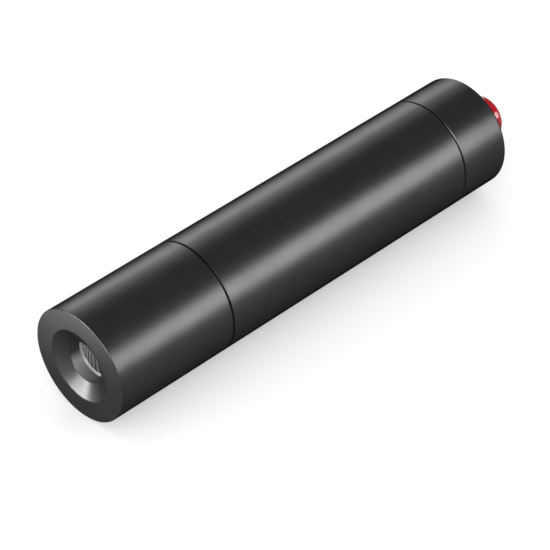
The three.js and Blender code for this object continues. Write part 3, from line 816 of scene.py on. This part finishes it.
def driver_board():
    """Round board with a hole for each of the diode's leads."""
    front, rear = board_low.y, board_high.y
    rim = board_high.x
    disc = [(0, front), (rim, front), (rim, rear), (0, rear)]
    piece = spin("fine_driver_board", disc, False, INNER_SEGMENTS, bevel=INNER_BREAK)
    for lead in ("diode_lead_1", "diode_lead_2", "diode_lead_3"):
        low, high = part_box(lead)
        hole = (high.x - low.x) / 2 + LEAD_ROOM
        rod = [(0, front - SEAT), (hole, front - SEAT), (hole, rear + SEAT), (0, rear + SEAT)]
        cut_away(piece, spin("cutter", rod, False, CAD_SIDES, middle_of(lead)))
    dress(piece, "barrel", board_green, "driver_board")


def lens_holder():
    """Sleeve with its fine thread outside, a lip in front of the lens and a slot for the pin key."""
    outline, closed = node_outline("lens_holder")
    wall = max(radius for radius, along in outline)
    front, rear = holder_low.y, holder_high.y
    rows = [
        (wall - HOLDER_THREAD, front),
        *thread_rows(wall, -HOLDER_THREAD, front + HOLDER_THREAD, rear - HOLDER_THREAD, LENS_PITCH),
        (wall - HOLDER_THREAD, rear),
    ]
    # The thread takes the place of the outline's two corners on the wall, whichever way round they come.
    at = next(i for i, (radius, along) in enumerate(outline) if wall - radius < OUTLINE_GRID)
    if outline[at][1] > outline[at + 1][1]:
        rows.reverse()
    outline[at:at + 2] = rows
    piece = spin("lens_sleeve", outline, closed)
    cut_slot(piece, front, HOLDER_SLOT_WIDTH, HOLDER_SLOT_DEPTH, wall)
    dress(piece, "lens_cell", nickel, "lens_holder")


def seal(node, body):
    """A rubber ring with a round section, squeezed a little flat in its groove."""
    outline = node_outline(node)[0]
    radii = [radius for radius, along in outline]
    places = [along for radius, along in outline]
    centre = (max(radii) + min(radii)) / 2
    half = (max(radii) - min(radii)) / 2
    place = (max(places) + min(places)) / 2
    wide = (max(places) - min(places)) / 2
    points = []
    for i in range(SEAL_STEPS):
        angle = 2 * math.pi * i / SEAL_STEPS
        across, along = (
            math.copysign(abs(value) ** SEAL_SQUEEZE, value) for value in (math.cos(angle), math.sin(angle))
        )
        points.append((centre + half * across, place + wide * along))
    dress(spin("fine_" + node, points), body, rubber, node)


def wire_ring(bm, turn, along, radius, pitch, wire):
    """The vertices round a spring's wire at one place, square to the way that the wire runs there."""
    angle = 2 * math.pi * turn
    once_round = 2 * math.pi * radius
    outward = Vector((math.sin(angle), 0, math.cos(angle)))
    onward = Vector((math.cos(angle) * once_round, pitch, -math.sin(angle) * once_round))
    sideways = onward.normalized().cross(outward)
    centre = outward * radius + Vector((0, along, AXIS_Z))
    ring = []
    for k in range(COIL_SIDES):
        place = 2 * math.pi * k / COIL_SIDES
        way = outward * math.cos(place) + sideways * math.sin(place)
        ring.append(bm.verts.new(centre + way * wire / 2))
    return ring


def coil(node):
    """A coil spring that is one wire, closed at either end and with even turns between."""
    wire, front_radius, rear_radius, turns = COILS[node]
    low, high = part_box(node)
    front, rear = low.y + wire / 2, high.y - wire / 2
    closed_pitch = wire * CLOSED_PITCH
    pitch = (rear - front - 2 * CLOSED_TURNS * closed_pitch) / turns
    total = turns + 2 * CLOSED_TURNS
    count = round(total * COIL_STEPS)
    bm = bmesh.new()
    rings = []
    for i in range(count + 1):
        turn = total * i / count
        closed = min(turn, CLOSED_TURNS) + max(0.0, turn - turns - CLOSED_TURNS)
        along = front + closed * closed_pitch + (turn - closed) * pitch
        radius = front_radius + (rear_radius - front_radius) * turn / total
        rings.append(wire_ring(bm, turn, along, radius, pitch, wire))
    for first, second in zip(rings, rings[1:]):
        for k in range(COIL_SIDES):
            n = (k + 1) % COIL_SIDES
            bm.faces.new((first[k], first[n], second[n], second[k]))
    bm.faces.new(rings[0])
    bm.faces.new(rings[-1])
    bmesh.ops.recalc_face_normals(bm, faces=bm.faces)
    return finish_mesh("fine_" + node, bm)


def stretched_coil(node, material):
    """A spring between two bodies that move apart, made with its finish and attached to neither body."""
    piece = coil(node)
    piece.data.materials.append(material)
    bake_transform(piece)
    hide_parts(node)


SEALS = (
    ("nose_seal", "barrel"),
    ("tail_seal", "barrel"),
    ("button_seal", "tail"),
)
SLOTTED_RINGS = (
    ("module_ring", "barrel"),
    ("board_ring", "barrel"),
    ("switch_ring", "tail"),
)
FINE_COPIES = (
    ("diode_module", "barrel", brass, "brass"),
    ("diode_ring", "barrel", brass, "brass"),
    ("positive_contact", "barrel", brass, "brass"),
    ("laser_diode", "barrel", gilt, "gilt"),
    ("diode_lead_1", "barrel", gilt, "gilt"),
    ("diode_lead_2", "barrel", gilt, "gilt"),
    ("diode_lead_3", "barrel", gilt, "gilt"),
    ("diode_window", "barrel", glass, "lens_glass"),
    ("cell_can", "barrel", cell_wrap, "cell_wrap"),
    ("cell_washer", "barrel", washer_fibre, "washer"),
    ("cell_nub", "barrel", nickel, "nickel"),
    ("collimating_lens", "lens_cell", glass, "lens_glass"),
    ("lens_ring", "lens_cell", nickel, "nickel"),
    ("switch_carrier", "tail", nylon, "nylon"),
    ("switch_board", "tail", board_green, "board"),
    ("plunger", "push_button", acetal, "acetal"),
)
SOFT_COPIES = (
    ("driver_chip", "barrel", epoxy, "epoxy"),
    ("filter_capacitor", "barrel", tantalum, "tantalum"),
    ("choke", "barrel", ferrite, "ferrite"),
    ("current_trimmer", "barrel", trimmer_blue, "trimmer_blue"),
    ("switch_body", "tail", epoxy, "epoxy"),
    ("switch_pin_left", "tail", steel, "spring_steel"),
    ("switch_pin_right", "tail", steel, "spring_steel"),
)

nose_piece()
tube_piece()
cap_piece()
button_piece()
lens_holder()
driver_board()
for node, body in SEALS:
    seal(node, body)
for node, body in SLOTTED_RINGS:
    slotted_ring(node, body, brass, "brass")
for row in FINE_COPIES:
    fine_copy(*row)
for row in SOFT_COPIES:
    soft_copy(*row)
dress(coil("positive_spring"), "barrel", nickel, "positive_spring")
stretched_coil("focus_spring", steel)
stretched_coil("tail_spring", nickel)
stretched_coil("return_spring", steel)


# Camera, fitted to the photograph's outline

AZIMUTH = math.radians(45.31)
ELEVATION = math.radians(39.12)
FOCAL = 171.88
SENSOR = 36
DISTANCE = 0.47304
AIM_ALONG = 0.04375
OFF_RIGHT = -0.002427
OFF_UP = 0.00381
CLIP_START = 0.01
CLIP_END = 100


def camera():
    """A long lens from the front right and above. The aim point lies a little off the picture's middle."""
    back = Vector((
        math.sin(AZIMUTH) * math.cos(ELEVATION),
        -math.cos(AZIMUTH) * math.cos(ELEVATION),
        math.sin(ELEVATION),
    ))
    right = Vector((math.cos(AZIMUTH), math.sin(AZIMUTH), 0))
    up = back.cross(right)
    aim = Vector((0, nose_face + AIM_ALONG, AXIS_Z))
    data = bpy.data.cameras.new("camera")
    data.lens = FOCAL
    data.sensor_width = SENSOR
    data.clip_start = CLIP_START
    data.clip_end = CLIP_END
    holder = bpy.data.objects.new("camera", data)
    holder.location = aim - right * OFF_RIGHT - up * OFF_UP + back * DISTANCE
    holder.rotation_mode = "QUATERNION"
    holder.rotation_quaternion = (-back).to_track_quat("-Z", "Y")
    bpy.context.scene.collection.objects.link(holder)
    bpy.context.scene.camera = holder


# Lights. The world and the floor are white to the camera, and dim to what the black metal mirrors.

LAMP_DISTANCE = 1.2
# Soft boxes: name, direction from the barrel's middle, width, height, power
LAMPS = (
    ("right_box", (0.80, 0.50, 0.30), 0.8, 0.56, 8.6),
    ("left_box", (-0.79, 0.546, 0.26), 0.6, 0.5, 6.4),
    ("left_upper_box", (-0.62, 0.55, 0.56), 0.6, 0.4, 0.9),
    ("front_box", (-0.47, -0.87, 0.12), 0.8, 0.34, 18.6),
    ("front_upper_box", (0.45, -0.75, 0.5), 0.4, 0.4, 12),
)
WORLD_DIFFUSE = 0.5
WORLD_GLOSSY = 0.155
FLOOR_REACH = 4.0
FLOOR_LEVEL = AXIS_Z - BARREL
FLOOR_WHITE = (0.25, 0.25, 0.25)
FLOOR_MIRRORED = (0.3, 0.3, 0.3)
FLOOR_ROUGHNESS = 0.9
FLOOR_SPECULAR = 0.1
FLOOR_SHADE = 0.34
FLOOR_LIFT = 0.85
SHADE_REACH = 0.1
FLOOR_FAR = (0.12, 0.6)
FLOOR_FAR_LIFT = 1.2
# A patch of floor in front of the nose that glows for mirror rays only: painted light for the nose face's
# reflection
GLOW_PATCH_PLACE = (-0.028, nose_face - 0.038, FLOOR_LEVEL)
GLOW_PATCH_RADIUS = 0.037
GLOW_PATCH_LIGHT = 4.8


def lamp(name, towards, width, height, power):
    """A soft box that stands in a direction from the barrel's middle and looks at it."""
    data = bpy.data.lights.new(name, "AREA")
    data.shape = "RECTANGLE"
    data.size = width
    data.size_y = height
    data.energy = power
    holder = bpy.data.objects.new(name, data)
    way = Vector(towards).normalized()
    holder.location = Vector((0, 0, AXIS_Z)) + way * LAMP_DISTANCE
    holder.rotation_mode = "QUATERNION"
    holder.rotation_quaternion = way.to_track_quat("Z", "Y")
    bpy.context.scene.collection.objects.link(holder)


def glossy_rays(tree):
    return tree.nodes.new("ShaderNodeLightPath").outputs["Is Glossy Ray"]


def seen_rays(tree):
    """1 for the rays that reach the camera straight or through glass, which show the white background."""
    rays = tree.nodes.new("ShaderNodeLightPath")
    return maths(tree, "MAXIMUM", rays.outputs["Is Camera Ray"], rays.outputs["Is Transmission Ray"])


def world():
    """White where it is seen, and a plain grey room for what it lights and what mirrors it."""
    made = bpy.data.worlds.new("studio")
    made.use_nodes = True
    tree = made.node_tree
    background = tree.nodes["Background"]
    room = mapped(tree, glossy_rays(tree), 0, 1, WORLD_DIFFUSE, WORLD_GLOSSY)
    level = mapped(tree, seen_rays(tree), 0, 1, room, 1)
    background.inputs["Color"].default_value = (1, 1, 1, 1)
    tree.links.new(level, background.inputs["Strength"])
    bpy.context.scene.world = made


def contact_shade(tree):
    """The floor's own level, which drops softly where the object covers the sky above it."""
    sky = tree.nodes.new("ShaderNodeAmbientOcclusion")
    sky.inputs["Distance"].default_value = SHADE_REACH
    return mapped(tree, sky.outputs["AO"], 0, 1, FLOOR_SHADE, FLOOR_LIFT)


def floor_light(tree):
    """The floor is white to the camera, also far away, and a patch in front of the nose glows for mirror
    rays only: painted light that the nose face reflects.
    """
    place = object_place(tree)
    from_glow_patch = vector_maths(tree, "DISTANCE", "Value", place, GLOW_PATCH_PLACE)
    glow_patch = mapped(tree, from_glow_patch, 0, GLOW_PATCH_RADIUS, GLOW_PATCH_LIGHT, 0, soft=True)
    from_middle = vector_maths(tree, "LENGTH", "Value", place)
    level = mapped(tree, from_middle, *FLOOR_FAR, contact_shade(tree), FLOOR_FAR_LIFT, soft=True)
    mirrored = maths(tree, "MULTIPLY", glossy_rays(tree), glow_patch)
    return maths(tree, "MULTIPLY_ADD", seen_rays(tree), level, mirrored)


def floor():
    bm = bmesh.new()
    reach = FLOOR_REACH
    for x, y in ((-reach, -reach), (reach, -reach), (reach, reach), (-reach, reach)):
        bm.verts.new((x, y, FLOOR_LEVEL))
    bm.faces.new(bm.verts)
    piece = finish_mesh("floor", bm)
    material, tree, bsdf = shader("floor_white")
    colour = shade(tree, glossy_rays(tree), FLOOR_WHITE, FLOOR_MIRRORED)
    tree.links.new(colour, bsdf.inputs["Base Color"])
    bsdf.inputs["Roughness"].default_value = FLOOR_ROUGHNESS
    bsdf.inputs["Specular IOR Level"].default_value = FLOOR_SPECULAR
    bsdf.inputs["Emission Color"].default_value = (1, 1, 1, 1)
    tree.links.new(floor_light(tree), bsdf.inputs["Emission Strength"])
    piece.data.materials.append(material)


camera()
world()
floor()
for row in LAMPS:
    lamp(*row)

scene = bpy.context.scene
scene.view_settings.view_transform = "Standard"
